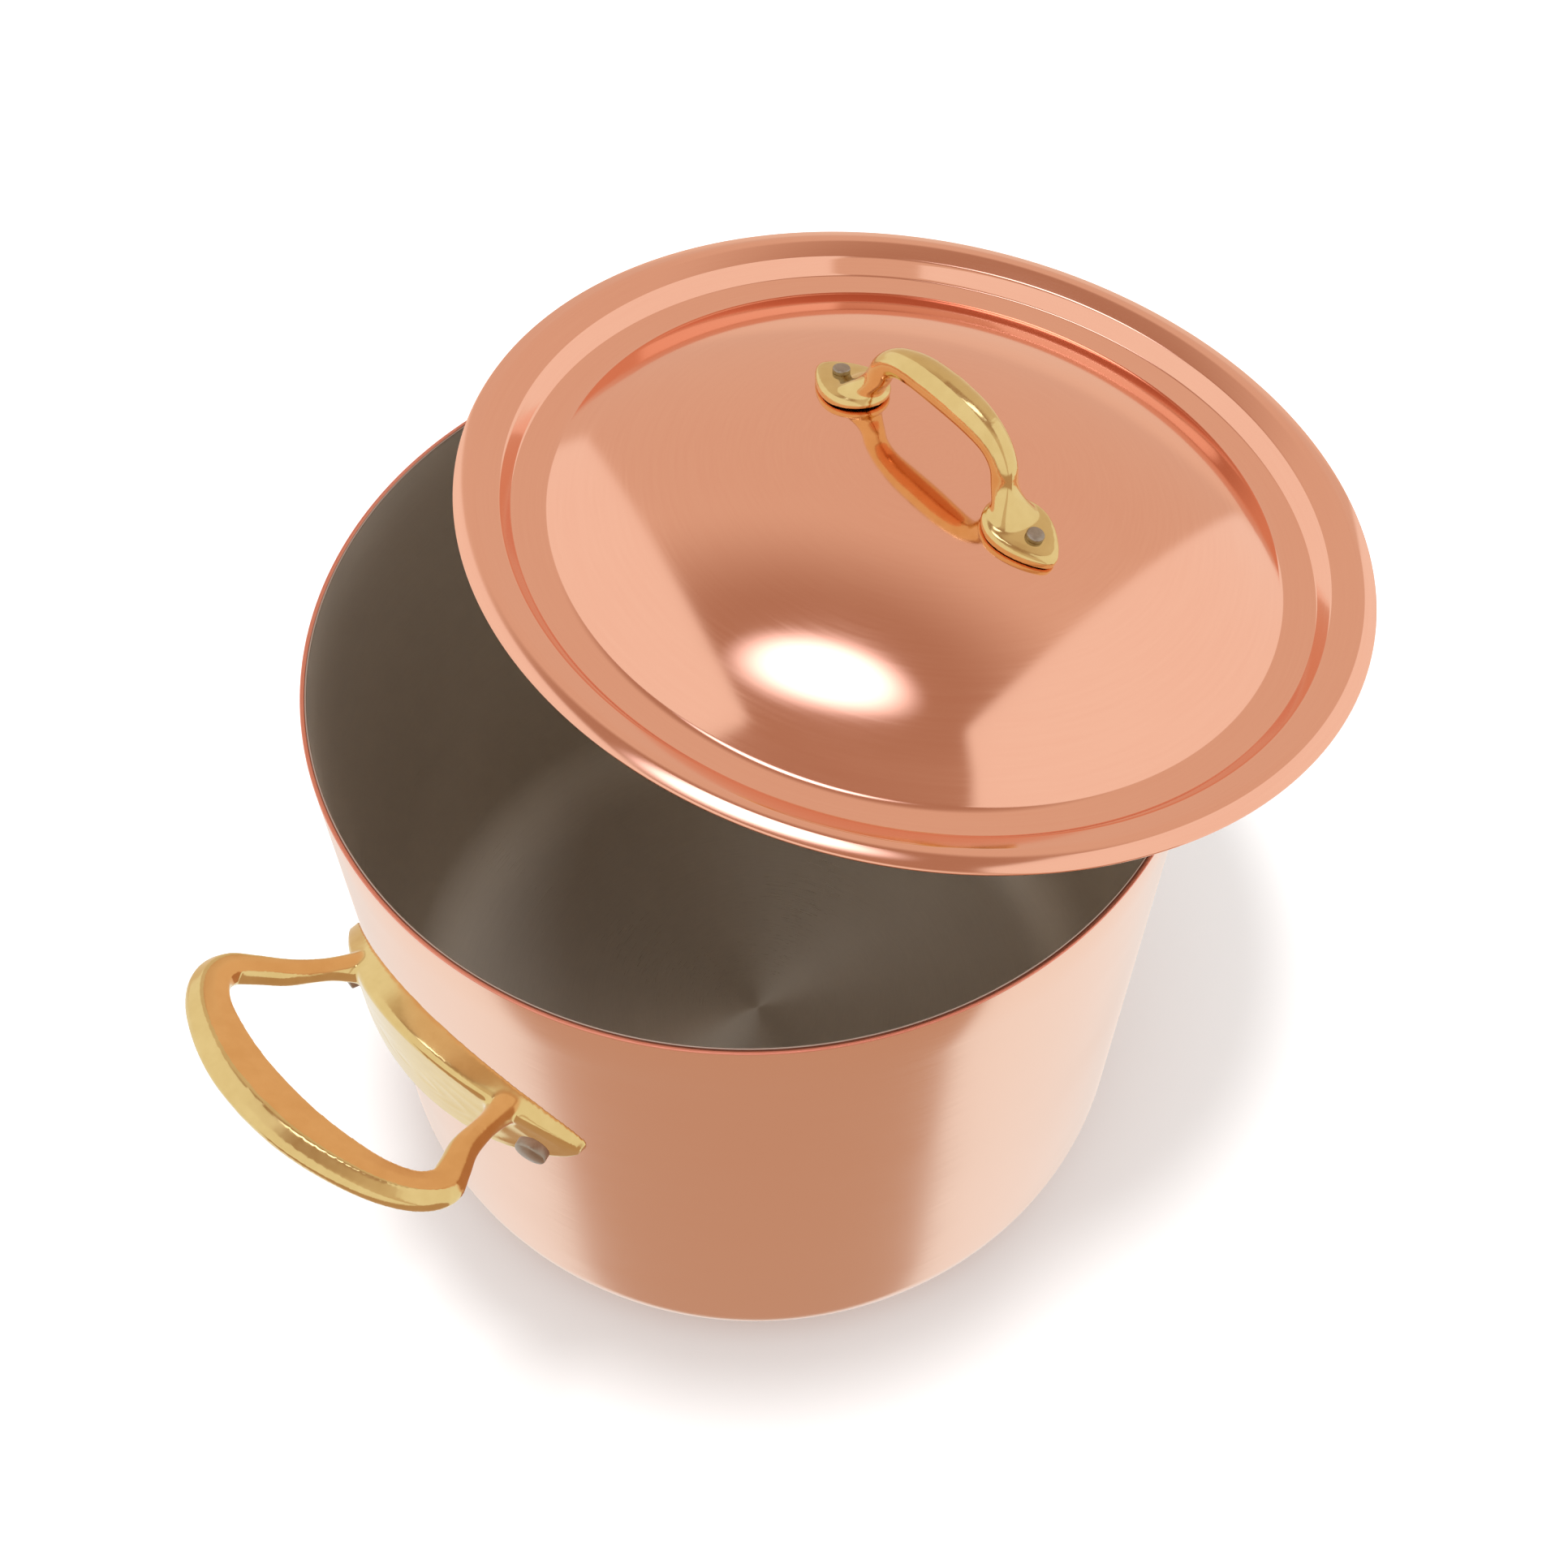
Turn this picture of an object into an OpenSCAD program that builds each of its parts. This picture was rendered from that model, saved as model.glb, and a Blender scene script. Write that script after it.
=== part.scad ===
// Tall copper stockpot with a steel lining, two riveted brass side handles
// and a domed copper lid that lies ajar on the rim.
// Origin at the centre of the underside, +Z up, side handles on the X axis.

/* [Pot] */
// Outer radius of the pot wall
pot_r = 120; // [110:1:140]
// Height from the table to the rim
pot_h = 203; // [190:1:240]
// Thickness of the copper wall and base
copper_t = 1.3; // [1:0.1:2]
// Thickness of the steel lining
steel_t = 0.5; // [0.4:0.1:0.8]
// Outer radius of the corner between wall and base
corner_r = 26; // [15:1:35]

/* [Side handles] */
// Half length of the plate along the wall
plate_half = 48; // [42:1:52]
// Thickness of the plate at its middle
plate_t = 9; // [7:0.5:11]
// Height of the plate's two pointed ends above the table
plate_z = 136; // [125:1:150]
// Rise of the plate's middle above its ends
plate_up = 23; // [16:1:25]
// Drop of the plate's middle below its ends
plate_down = 12; // [11:0.5:16]
// Width of the grip at its middle
grip_w = 15; // [12:0.5:18]
// Thickness of the grip at its middle
grip_t = 7.5; // [6:0.5:9]
// Angle at which the loop rises away from the pot
loop_tilt = 33; // [25:1:35]
// Angle of each rivet from the handle's centre line, seen from the pot's axis
rivet_angle = 17.5; // [15:0.5:19]
// Radius of a rivet's shank
rivet_r = 3; // [2.5:0.1:3.5]
// Radius of a rivet's head
rivet_head_r = 4.6; // [4:0.1:5.5]

/* [Lid] */
// Radius of the lid's outer edge
lid_r = 128.4; // [127:0.1:132]
// Thickness of the lid's copper
lid_copper_t = 1.2; // [1:0.1:1.4]
// Thickness of the lid's steel lining
lid_steel_t = 0.4; // [0.3:0.1:0.6]
// Height of the lid's crown above its outer edge
dome_top = 19.3; // [14:0.1:22]
// Distance that the lid is pushed along +X
lid_shift = 64.4; // [60:0.1:70]
// Distance that the lid is pushed along +Y
lid_side = -2.4; // [-4:0.1:0]
// Height of the lid's edge plane above the rim, at the lid's centre
lid_rise = 8.8; // [8.8:0.1:12]
// Tilt of the lid, down towards +X
lid_tilt = 9.2; // [8:0.1:9.4]
// Direction of the lid's tilt about the pot's axis
lid_lean = -6; // [-7:0.5:0]

/* [Lid handle] */
// Distance of each lid rivet from the lid's centre
lid_rivet_y = 38.7; // [36:0.1:42]
// Radius of a lid rivet's shank
lid_rivet_r = 1.6; // [1.2:0.1:2]
// Radius of a lid rivet's head
lid_rivet_head_r = 2.5; // [2.2:0.1:3]
// Height of the grip's centre above the lid's edge plane
bail_h = 39.5; // [35:0.1:44]

/* [Hidden] */
$fn = 96;
gap = 0.05;            // radial play of a rivet shank in its holes
wall_t = copper_t + steel_t;
lid_t = lid_copper_t + lid_steel_t;
bail_turn = 89.6;      // direction of the lid handle from the tilt direction
rivet_z = plate_z - 2;
rivet_face = pot_r + 5.7; // underside of the outer head
rivet_out_head = 3.6;
rivet_in_head = 1.2;
plate_curve_r = 83.3;  // radius of the plate's front face
loop_root_z = 148;     // height of the loop's plane where it meets the plate

copper = [0.80, 0.47, 0.35];
steel = [0.55, 0.50, 0.45];
brass = [0.83, 0.66, 0.32];
rivet_steel = [0.45, 0.41, 0.37];

// ---- paths and sweeps ----

function unit(v) = v / norm(v);

// Corner b of the path a-b-c, rounded by radius r with n chords.
function fillet(a, b, c, r, n) =
    let (
        u = unit(a - b), v = unit(c - b),
        half = acos(max(-1, min(1, u * v))) / 2,
        back = r / tan(half),
        centre = b + unit(u + v) * (r / sin(half)),
        start = b + u * back - centre,
        stop = b + v * back - centre,
        a0 = atan2(start[1], start[0]),
        turn = atan2(start[0] * stop[1] - start[1] * stop[0], start * stop)
    )
    [for (i = [0:n]) centre + r * [cos(a0 + turn * i / n), sin(a0 + turn * i / n)]];

// Path through [x, y, r] points, each inner corner rounded by its own r.
function rounded(p, n = 6) = [
    for (i = [0:len(p) - 1])
        let (b = [p[i][0], p[i][1]])
        if (i == 0 || i == len(p) - 1) b
        else each fillet([p[i-1][0], p[i-1][1]], b, [p[i+1][0], p[i+1][1]], p[i][2], n)
];

// The same path moved sideways by d, to its right.
function beside(p, d) = [
    for (i = [0:len(p) - 1])
        let (
            t0 = unit(p[max(i, 1)] - p[max(i, 1) - 1]),
            t1 = unit(p[min(i, len(p) - 2) + 1] - p[min(i, len(p) - 2)]),
            m = unit(t0 + t1)
        )
        p[i] + d / (m * t0) * [m[1], -m[0]]
];

function backwards(p) = [for (i = [len(p) - 1:-1:0]) p[i]];

// Smooth curve through rows of numbers p, at k steps between two rows.
function spline(p, k) = [
    for (i = [0:len(p) - 2]) for (j = [0:k - (i < len(p) - 2 ? 1 : 0)])
        let (
            t = j / k,
            a = p[max(i - 1, 0)], b = p[i], c = p[i + 1], d = p[min(i + 2, len(p) - 1)]
        )
        0.5 * (2 * b + (c - a) * t + (2 * a - 5 * b + 4 * c - d) * t * t
               + (3 * b - a - 3 * c + d) * t * t * t)
];

// Solid swept along rows [x, y, z, a, b] with oval rings of n points: a is the ring's
// diameter square to the direction side, and b is the other diameter.
module sweep(rows, side, n = 16) {
    pts = [for (r = rows) [r[0], r[1], r[2]]];
    last = len(pts) - 1;
    rings = [
        for (i = [0:last])
            let (
                t = unit(pts[min(i + 1, last)] - pts[max(i - 1, 0)]),
                w = unit(cross(side, t)), h = cross(t, w)
            )
            for (k = [0:n - 1])
                let (c = cos(360 * k / n), s = sin(360 * k / n))
                pts[i] + w * rows[i][3] / 2 * sign(c) * pow(abs(c), 0.8)
                       + h * rows[i][4] / 2 * sign(s) * pow(abs(s), 0.8)
    ];
    sides = [
        for (i = [0:last - 1]) for (k = [0:n - 1])
            let (a = i * n + k, b = i * n + (k + 1) % n)
            each [[a, a + n, b + n], [a, b + n, b]]
    ];
    first_cap = [for (k = [1:n - 2]) [0, k, k + 1]];
    last_cap = [for (k = [1:n - 2]) [last * n, last * n + k + 1, last * n + k]];
    polyhedron(rings, concat(sides, first_cap, last_cap));
}

// Row list of a half loop, joined to its mirror image across the XZ plane.
function both_halves(p) = concat(
    p, [for (i = [len(p) - 2:-1:0]) [p[i][0], -p[i][1], p[i][2], p[i][3], p[i][4]]]
);

// ---- pot ----

// Half section of a vessel filled solid: radius r, height h, corner radius c.
module vessel_half(r, h, c) {
    square([r - c, h]);
    translate([0, c]) square([r, h - c]);
    translate([r - c, c]) circle(c);
}

// Shell between two nested vessels, from depth a to depth b below the outer face.
module vessel_shell(a, b) {
    rotate_extrude($fn = 180)
        intersection() {
            difference() {
                translate([0, a]) vessel_half(pot_r - a, pot_h - a, corner_r - a);
                translate([0, b]) vessel_half(pot_r - b, pot_h, corner_r - b);
            }
            square([pot_r, pot_h]);
        }
}

// Places children at one of the four side rivets, +X pointing away from the pot.
module at_side_rivet(turn, side) {
    rotate([0, 0, turn + side * rivet_angle]) translate([0, 0, rivet_z]) children();
}

module side_rivet_holes() {
    for (turn = [0, 180]) for (side = [-1, 1])
        at_side_rivet(turn, side)
            rotate([0, 90, 0]) translate([0, 0, pot_r - 20]) cylinder(r = rivet_r + gap, h = 40);
}

module pot_copper_shell() {
    color(copper) difference() {
        vessel_shell(0, copper_t);
        side_rivet_holes();
    }
}

module pot_steel_lining() {
    color(steel) difference() {
        vessel_shell(copper_t, wall_t);
        side_rivet_holes();
    }
}

// ---- side handles ----

// Outline of the plate: an arched upper edge, a fuller lower edge, two rounded ends.
function plate_edge(s, depth, power) = depth * pow(max(0, 1 - pow(s / plate_half, 2)), power);
plate_outline = [
    for (a = [0:5:355])
        let (s = plate_half * cos(a))
        [s, plate_z + (sin(a) >= 0 ? plate_edge(s, plate_up, 0.8)
                                   : -plate_edge(s, plate_down, 0.35))]
];

module plate() {
    difference() {
        intersection() {
            rotate([90, 0, 90]) translate([0, 0, 90]) linear_extrude(50) polygon(plate_outline);
            translate([pot_r + plate_t - plate_curve_r, 0, 0])
                cylinder(r = plate_curve_r, h = pot_h, $fn = 180);
        }
        cylinder(r = pot_r + gap, h = pot_h, $fn = 180);
    }
}

// Half the loop in its own tilted plane, from the plate to the grip's middle: distance from
// the pot's axis, distance from the middle, width and thickness.
loop_plan = [
    [pot_r + 1, 29.5, 10.0, 9.5],
    [pot_r + 7, 31.8, 6.9, 7.5],
    [pot_r + 12.5, 33.6, 6.6, 6.5],
    [pot_r + 19, 36.2, 7.8, 7.0],
    [pot_r + 25, 40.4, 8.8, 7.0],
    [pot_r + 30.5, 43.4, 10.0, 7.0],
    [pot_r + 36.5, 41.0, 10.4, 7.0],
    [pot_r + 41.7, 33.6, 11.6, 7.2],
    [pot_r + 45.5, 22.5, 13.6, grip_t],
    [pot_r + 47.7, 11.0, grip_w, grip_t],
    [pot_r + 48.3, 0, grip_w + 0.4, grip_t]
];
loop_rows = [
    for (p = loop_plan)
        [p[0], p[1], loop_root_z + (p[0] - pot_r - 2) * tan(loop_tilt), p[2], p[3]]
];

module side_handle() {
    color(brass) difference() {
        union() {
            plate();
            difference() {
                sweep(both_halves(spline(loop_rows, 3)), [-sin(loop_tilt), 0, cos(loop_tilt)]);
                cylinder(r = pot_r + 1, h = pot_h, $fn = 180);
            }
        }
        for (side = [-1, 1]) at_side_rivet(0, side) rotate([0, 90, 0]) {
            translate([0, 0, pot_r - 20]) cylinder(r = rivet_r + gap, h = 40);
            translate([0, 0, rivet_face]) cylinder(r = rivet_head_r + gap, h = 10);
        }
    }
}

module side_handle_left() { rotate([0, 0, 180]) side_handle(); }
module side_handle_right() { side_handle(); }

// Rivet: flat-topped outer head, shank, and a low head inside the pot.
module side_rivet() {
    inside = pot_r - wall_t - 0.1;
    color(rivet_steel) rotate([0, 90, 0]) {
        translate([0, 0, inside - rivet_in_head]) {
            cylinder(r = rivet_r, h = rivet_face + rivet_out_head - inside);
            cylinder(r1 = rivet_head_r - 1, r2 = rivet_head_r, h = rivet_in_head);
        }
        translate([0, 0, rivet_face]) cylinder(r = rivet_head_r, h = rivet_out_head - 1);
        translate([0, 0, rivet_face + rivet_out_head - 1])
            cylinder(r1 = rivet_head_r, r2 = rivet_head_r - 1.2, h = 1);
    }
}

module handle_rivet_left_front() { at_side_rivet(180, 1) side_rivet(); }
module handle_rivet_left_back() { at_side_rivet(180, -1) side_rivet(); }
module handle_rivet_right_front() { at_side_rivet(0, -1) side_rivet(); }
module handle_rivet_right_back() { at_side_rivet(0, 1) side_rivet(); }

// ---- lid ----

// Radii and heights that shape the lid's upper face, from its outer edge inwards.
crown_r = lid_r - 5.5;      // top of the curved flange
crown_h = 1.55;
step_r = lid_r - 12.4;      // upper corner of the step into the pot
seat_r = lid_r - 15.8;      // lower corner of the step
crease_r = lid_r - 24.6;    // foot of the dome
crease_h = -6.4;
dome_rise = dome_top - crease_h;
dome_r = (crease_r * crease_r + dome_rise * dome_rise) / (2 * dome_rise);
dome_end = asin(crease_r / dome_r);

// Height of the lid's upper face at radius r, on the dome.
function dome_z(r) = dome_top - dome_r + sqrt(dome_r * dome_r - r * r);
function dome_point(share) =
    [dome_r * sin(dome_end * share), dome_z(dome_r * sin(dome_end * share))];

lid_rim_path = [
    [lid_r - lid_copper_t / 2, 0, 0],
    [crown_r, crown_h, 5],
    [step_r, -1.2, 3],
    [seat_r, -5.6, 1.8],
    [crease_r + 0.4, crease_h, 4],
    [each dome_point(0.93), 0]
];
lid_top = concat(
    rounded(lid_rim_path),
    [for (a = [0.88:-0.08:0.08]) dome_point(a)],
    [[0, dome_top]]
);

// The upper face moved down by d, with its last point kept on the axis.
function lid_face(d) =
    let (q = beside(lid_top, -d))
    [for (i = [0:len(q) - 1]) i == len(q) - 1 ? [0, dome_top - d] : q[i]];

// Places children in the lid's own frame: centre of the edge plane, axis up.
module in_lid() {
    translate([lid_shift, lid_side, pot_h + lid_rise])
        rotate([0, 0, lid_lean]) rotate([0, lid_tilt, 0]) rotate([0, 0, bail_turn - 90])
            children();
}

// Places children on the dome under a foot of the handle, +Y pointing outwards.
module at_foot(side) {
    rotate([0, 0, side > 0 ? 0 : 180]) translate([0, 0, dome_top - dome_r])
        rotate([-foot_tilt, 0, 0]) translate([0, 0, dome_r]) children();
}

// Places children at a rivet of the lid handle.
module at_lid_rivet(side) {
    at_foot(side) translate([0, lid_rivet_y - foot_mid, 0]) children();
}

module lid_rivet_holes() {
    for (side = [-1, 1])
        at_lid_rivet(side) translate([0, 0, -5]) cylinder(r = lid_rivet_r + gap, h = 15, $fn = 48);
}

module lid_copper_shell() {
    color(copper) in_lid() difference() {
        rotate_extrude($fn = 180) {
            polygon(concat(lid_face(0), backwards(lid_face(lid_copper_t))));
            translate((lid_face(0)[0] + lid_face(lid_copper_t)[0]) / 2) circle(lid_copper_t / 2);
        }
        lid_rivet_holes();
    }
}

module lid_steel_lining() {
    color(steel) in_lid() difference() {
        rotate_extrude($fn = 180)
            polygon(concat(lid_face(lid_copper_t), backwards(lid_face(lid_t))));
        lid_rivet_holes();
    }
}

// ---- lid handle ----

foot_mid = 35;               // distance of a foot's middle from the lid's centre
foot_tilt = asin(foot_mid / dome_r);
foot_len = 25;
foot_wide = 20;
foot_side = 2;               // height of a foot's upright side
foot_t = 3.4;
foot_lift = 0.1;             // gap between foot and dome at the foot's middle

// Outline of a foot: broad towards the lid's centre, narrow at its outer end.
function foot_outline(k) = [
    for (a = [0:10:350])
        let (t = (1 - cos(a)) / 2)
        k * [foot_wide / 2 * (1.1 - 0.5 * t * t) * sin(a), foot_len * (t - 0.5)]
];

// Centre line of half the arch, its thickness in the arch's plane and its width across.
bail_rows = [
    [0, 35.5, 18.7, 2.4, 13.0],
    [0, 31.5, 20.4, 4.2, 11.5],
    [0, 27.8, 22.8, 6.4, 9.0],
    [0, 25.3, 27.0, 7.2, 7.2],
    [0, 23.4, 32.2, 7.5, 7.6],
    [0, 18.5, 36.5, 8.2, 8.6],
    [0, 10, bail_h - 0.6, 9.4, 10.4],
    [0, 0, bail_h, 10.0, 11.0]
];

module foot(side) {
    at_foot(side) translate([0, 0, foot_lift]) {
        linear_extrude(foot_side) polygon(foot_outline(1));
        translate([0, 0, foot_side]) linear_extrude((foot_t - foot_side) / 2)
            polygon(foot_outline(0.96));
        translate([0, 0, (foot_side + foot_t) / 2]) linear_extrude((foot_t - foot_side) / 2)
            polygon(foot_outline(0.86));
    }
}

module lid_handle() {
    color(brass) in_lid() difference() {
        union() {
            foot(-1);
            foot(1);
            sweep(both_halves(spline(bail_rows, 3)), [1, 0, 0]);
        }
        lid_rivet_holes();
    }
}

// Lid rivet: low round head above the foot, shank, low head under the lid.
module lid_rivet(side) {
    top = foot_lift + foot_t + 0.05;
    under = lid_t + 1.15;
    color(rivet_steel) in_lid() at_lid_rivet(side) {
        translate([0, 0, -under]) {
            cylinder(r = lid_rivet_r, h = under + top + 1, $fn = 48);
            cylinder(r1 = lid_rivet_head_r - 0.6, r2 = lid_rivet_head_r, h = 1, $fn = 48);
        }
        translate([0, 0, top]) cylinder(r = lid_rivet_head_r, h = 1, $fn = 48);
        translate([0, 0, top + 1])
            cylinder(r1 = lid_rivet_head_r, r2 = lid_rivet_head_r - 0.7, h = 0.6, $fn = 48);
    }
}

module lid_rivet_front() { lid_rivet(-1); }
module lid_rivet_back() { lid_rivet(1); }

pot_copper_shell();
pot_steel_lining();
side_handle_left();
side_handle_right();
handle_rivet_left_front();
handle_rivet_left_back();
handle_rivet_right_front();
handle_rivet_right_back();
lid_copper_shell();
lid_steel_lining();
lid_handle();
lid_rivet_front();
lid_rivet_back();
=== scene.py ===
"""Looks of the copper stockpot: fine meshes, metal materials, floor, light and camera.

Lengths are in millimetres up to the point where a mesh is made, which turns them into metres.
"""
import math

import bmesh
import bpy
from mathutils import Matrix, Vector


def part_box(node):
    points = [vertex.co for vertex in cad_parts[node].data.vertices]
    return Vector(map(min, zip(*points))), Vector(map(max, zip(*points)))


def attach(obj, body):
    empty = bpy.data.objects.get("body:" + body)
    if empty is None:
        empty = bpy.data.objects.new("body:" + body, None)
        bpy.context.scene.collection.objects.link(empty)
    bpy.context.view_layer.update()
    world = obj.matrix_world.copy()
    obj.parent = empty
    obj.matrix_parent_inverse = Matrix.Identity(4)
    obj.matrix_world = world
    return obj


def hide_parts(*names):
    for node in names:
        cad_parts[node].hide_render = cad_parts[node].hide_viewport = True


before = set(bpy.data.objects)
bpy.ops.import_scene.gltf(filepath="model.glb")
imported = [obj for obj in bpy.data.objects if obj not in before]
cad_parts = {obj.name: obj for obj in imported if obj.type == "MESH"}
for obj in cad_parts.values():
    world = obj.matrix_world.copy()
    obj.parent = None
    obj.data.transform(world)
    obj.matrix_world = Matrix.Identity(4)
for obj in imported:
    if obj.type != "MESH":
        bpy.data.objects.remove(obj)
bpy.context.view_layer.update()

MM = 0.001

# ---- sizes, from the frame where it holds them ----

POT_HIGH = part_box("pot_copper_shell")[1]
POT_R = POT_HIGH.x / MM
POT_H = POT_HIGH.z / MM
COPPER_T = 1.3
STEEL_T = 0.5
CORNER_R = 26.0
FLOOR_Z = COPPER_T + STEEL_T

LID_R = 128.4
LID_COPPER_T = 1.2
LID_STEEL_T = 0.4
DOME_TOP = 19.3
CREASE_R = LID_R - 24.6
CREASE_H = -6.4
DOME_RISE = DOME_TOP - CREASE_H
DOME_R = (CREASE_R ** 2 + DOME_RISE ** 2) / (2 * DOME_RISE)
CROWN_R = LID_R - 5.5       # top of the curved flange
CROWN_H = 1.55
STEP_R = LID_R - 12.4       # upper corner of the step into the pot
STEP_H = -1.2
SEAT_R = LID_R - 15.8       # lower corner of the step
SEAT_H = -5.6
LID_CENTRE = Vector((64.4, -2.4, POT_H + 8.8))
LID_TILT = 9.2
LID_LEAN = -6.0
BAIL_TURN = 89.6            # direction of the lid handle from the tilt direction

FOOT_MID = 35.0             # distance of a foot's middle from the lid's centre
FOOT_LEN = 25.0
FOOT_HALF_WIDE = 10.0
FOOT_LIFT = 0.1             # gap between foot and dome
FOOT_T = 3.4
LID_RIVET_Y = 38.7

RIVET_ANGLE = 17.5
RIVET_Z = 134.0
RIVET_FACE = POT_R + 5.7    # underside of the outer head

ROUND = 256                 # segments around a turned piece


def rad(degrees):
    return math.radians(degrees)


def turn(axis, degrees):
    return Matrix.Rotation(rad(degrees), 4, axis)


def shift(x, y, z):
    return Matrix.Translation((x, y, z))


def in_metres(place):
    """The same frame with its origin in metres."""
    matrix = place.copy()
    matrix.translation = matrix.translation * MM
    return matrix


LID_PLACE = (
    Matrix.Translation(LID_CENTRE) @ turn("Z", LID_LEAN) @ turn("Y", LID_TILT)
    @ turn("Z", BAIL_TURN - 90)
)


# ---- outlines ----

def arc(centre, radius, start, stop, steps):
    """Points of an arc, angles in degrees, both ends included."""
    return [
        (centre[0] + radius * math.cos(rad(start + (stop - start) * i / steps)),
         centre[1] + radius * math.sin(rad(start + (stop - start) * i / steps)))
        for i in range(steps + 1)
    ]


def fillet(a, b, c, radius, steps):
    """Corner b of the path a-b-c, rounded by radius."""
    a, b, c = Vector(a), Vector(b), Vector(c)
    u, v = (a - b).normalized(), (c - b).normalized()
    half = math.acos(max(-1, min(1, u.dot(v)))) / 2
    centre = b + (u + v).normalized() * (radius / math.sin(half))
    back = radius / math.tan(half)
    first, last = b + u * back - centre, b + v * back - centre
    start = math.atan2(first.y, first.x)
    sweep_by = math.atan2(first.x * last.y - first.y * last.x, first.dot(last))
    return [
        (centre.x + radius * math.cos(start + sweep_by * i / steps),
         centre.y + radius * math.sin(start + sweep_by * i / steps))
        for i in range(steps + 1)
    ]


def rounded(path, steps=10):
    """Path of (x, y, radius) points with each inner corner rounded."""
    out = [path[0][:2]]
    for before, corner, after in zip(path, path[1:], path[2:]):
        out += fillet(before[:2], corner[:2], after[:2], corner[2], steps)
    return out + [path[-1][:2]]


def offset(path, distance):
    """The path moved to its left by distance; the last point stays on the axis."""
    pts = [Vector(p) for p in path]
    out = []
    for i, p in enumerate(pts):
        ahead = (pts[min(i + 1, len(pts) - 1)] - pts[max(i - 1, 0)]).normalized()
        out.append((p.x - ahead.y * distance, p.y + ahead.x * distance))
    out[-1] = (0.0, pts[-1].y - distance)
    return out


def spline(rows, steps):
    """Smooth curve through rows of numbers, with steps pieces between two rows."""
    rows = [tuple(r) for r in rows]
    out = []
    for i in range(len(rows) - 1):
        a, b = rows[max(i - 1, 0)], rows[i]
        c, d = rows[i + 1], rows[min(i + 2, len(rows) - 1)]
        for k in range(steps):
            t = k / steps
            out.append(tuple(
                0.5 * (2 * q + (r - p) * t + (2 * p - 5 * q + 4 * r - s) * t * t
                       + (3 * q - p - 3 * r + s) * t ** 3)
                for p, q, r, s in zip(a, b, c, d)
            ))
    return out + [rows[-1]]


# ---- meshes ----

def new_object(name, bm, material, place=None, smooth=True):
    """Object from a bmesh in millimetres; place moves its mesh, in millimetres."""
    bmesh.ops.remove_doubles(bm, verts=bm.verts, dist=1e-4)
    bmesh.ops.recalc_face_normals(bm, faces=bm.faces)
    bmesh.ops.scale(bm, vec=(MM, MM, MM), verts=bm.verts)
    mesh = bpy.data.meshes.new(name)
    bm.to_mesh(mesh)
    bm.free()
    obj = bpy.data.objects.new(name, mesh)
    bpy.context.scene.collection.objects.link(obj)
    if place is not None:
        mesh.transform(in_metres(place))
    if smooth:
        mesh.polygons.foreach_set("use_smooth", [True] * len(mesh.polygons))
    mesh.materials.append(material)
    return obj


def lathe(name, outline, material, place=None, segments=ROUND, closed=True):
    """Turned piece from (radius, height) points about Z."""
    bm = bmesh.new()
    rings = []
    for r, z in outline:
        if r < 1e-6:
            rings.append([bm.verts.new((0, 0, z))])
        else:
            rings.append([
                bm.verts.new((r * math.cos(2 * math.pi * k / segments),
                              r * math.sin(2 * math.pi * k / segments), z))
                for k in range(segments)
            ])
    pairs = list(zip(rings, rings[1:]))
    if closed and not (len(rings[0]) == 1 and len(rings[-1]) == 1):
        pairs.append((rings[-1], rings[0]))
    for low, high in pairs:
        for k in range(segments):
            n = (k + 1) % segments
            corners = [low[k % len(low)], low[n % len(low)],
                       high[n % len(high)], high[k % len(high)]]
            unique = list(dict.fromkeys(corners))
            if len(unique) > 2:
                bm.faces.new(unique)
    obj = new_object(name, bm, material)
    add_turned_maps(obj.data)
    if place is not None:
        obj.data.transform(in_metres(place))
    return obj


def add_turned_maps(mesh):
    """Keeps the place in the piece's own frame, and a map that runs around its axis."""
    own = mesh.attributes.new("turned_place", "FLOAT_VECTOR", "POINT")
    own.data.foreach_set("vector", [c for v in mesh.vertices for c in v.co])
    around = mesh.uv_layers.new(name="turned")
    for face in mesh.polygons:
        centre = math.atan2(face.center.y, face.center.x)
        for loop in face.loop_indices:
            co = mesh.vertices[mesh.loops[loop].vertex_index].co
            angle = math.atan2(co.y, co.x) if co.xy.length > 1e-7 else centre
            angle += 2 * math.pi * round((centre - angle) / (2 * math.pi))
            around.data[loop].uv = (angle / (2 * math.pi) + 0.5, co.xy.length + co.z)


def skin(bm, rings):
    """Quads between rings of equal length, with the two end rings filled."""
    rows = [[bm.verts.new(p) for p in ring] for ring in rings]
    count = len(rows[0])
    for low, high in zip(rows, rows[1:]):
        for k in range(count):
            n = (k + 1) % count
            bm.faces.new((low[k], low[n], high[n], high[k]))
    bm.faces.new(rows[0])
    bm.faces.new(list(reversed(rows[-1])))


def mirrored(rows):
    """Half a loop, given from its end to its middle, and its image across XZ."""
    return rows + [(r[0], -r[1]) + tuple(r[2:]) for r in reversed(rows[:-1])]


def sweep(bm, rows, side, section):
    """Solid along rows (x, y, z, a, b, ...); section gives its ring in units of a and b.

    What a row holds after b is handed to section. side is the direction that b leans to."""
    pts = [Vector(r[:3]) for r in rows]
    rings = []
    for i, row in enumerate(rows):
        ahead = (pts[min(i + 1, len(pts) - 1)] - pts[max(i - 1, 0)]).normalized()
        across = side.cross(ahead).normalized()
        up = ahead.cross(across)
        rings.append([
            pts[i] + across * (u * row[3]) + up * (v * row[4]) for u, v in section(*row[5:])
        ])
    skin(bm, rings)


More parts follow.
